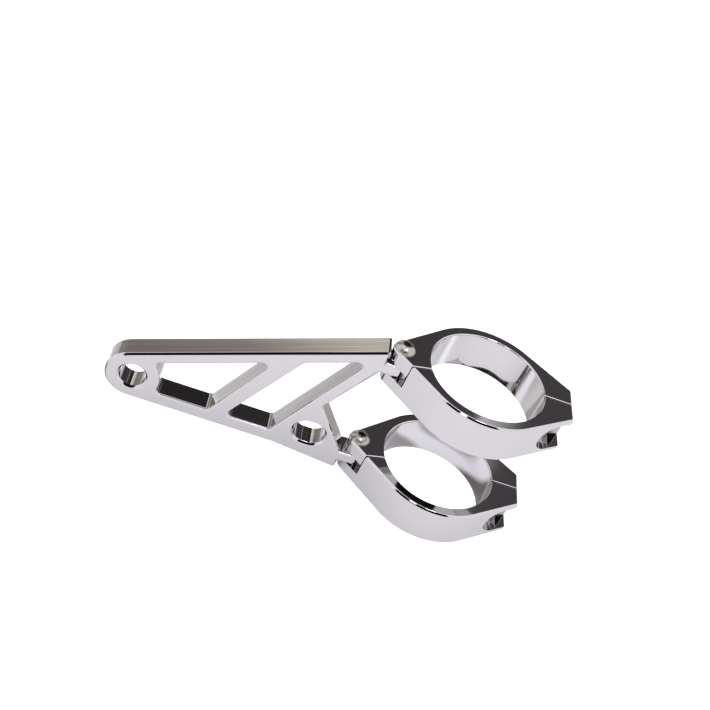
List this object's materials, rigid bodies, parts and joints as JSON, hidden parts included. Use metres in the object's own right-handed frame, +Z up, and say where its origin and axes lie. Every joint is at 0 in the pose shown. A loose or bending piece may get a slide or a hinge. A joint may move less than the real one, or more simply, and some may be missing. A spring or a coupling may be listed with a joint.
{
  "type": "headlight mounting bracket",
  "caption": "Milled triangular arm with two hinged split clamps that holds one side of a round headlight on a front fork tube.",
  "frame": {"origin": "centre of the lower clamp's bore, on the fork tube's axis", "axes": "+Z up the fork tube, -X out along the arm to its tip, -Y towards the side with the clamp screws' heads"},
  "size_m": [0.1599, 0.0506, 0.0634],
  "materials": {
    "mirror_chrome": "mirror chrome plate",
    "screw_steel": "satin"
  },
  "bodies": {
    "lower_clamp": {"lower_clamp_back_half": "mirror_chrome", "lower_clamp_front_half": "mirror_chrome", "lower_hinge_screw": "screw_steel", "lower_clamp_screw": "screw_steel"},
    "arm": {"arm": "mirror_chrome"},
    "upper_clamp": {"upper_clamp_back_half": "mirror_chrome", "upper_clamp_front_half": "mirror_chrome", "upper_hinge_screw": "screw_steel", "upper_clamp_screw": "screw_steel"}
  },
  "joints": [
    {"name": "lower_clamp_hinge", "type": "hinge", "parent": "lower_clamp", "child": "arm", "pos_m": [-0.0312, 0, 0], "axis": [0, 0, 1], "range_deg": [-50, 50]},
    {"name": "upper_clamp_hinge", "type": "hinge", "parent": "arm", "child": "upper_clamp", "pos_m": [-0.0312, 0, 0.046], "axis": [0, 0, 1], "range_deg": [-50, 50]}
  ]
}
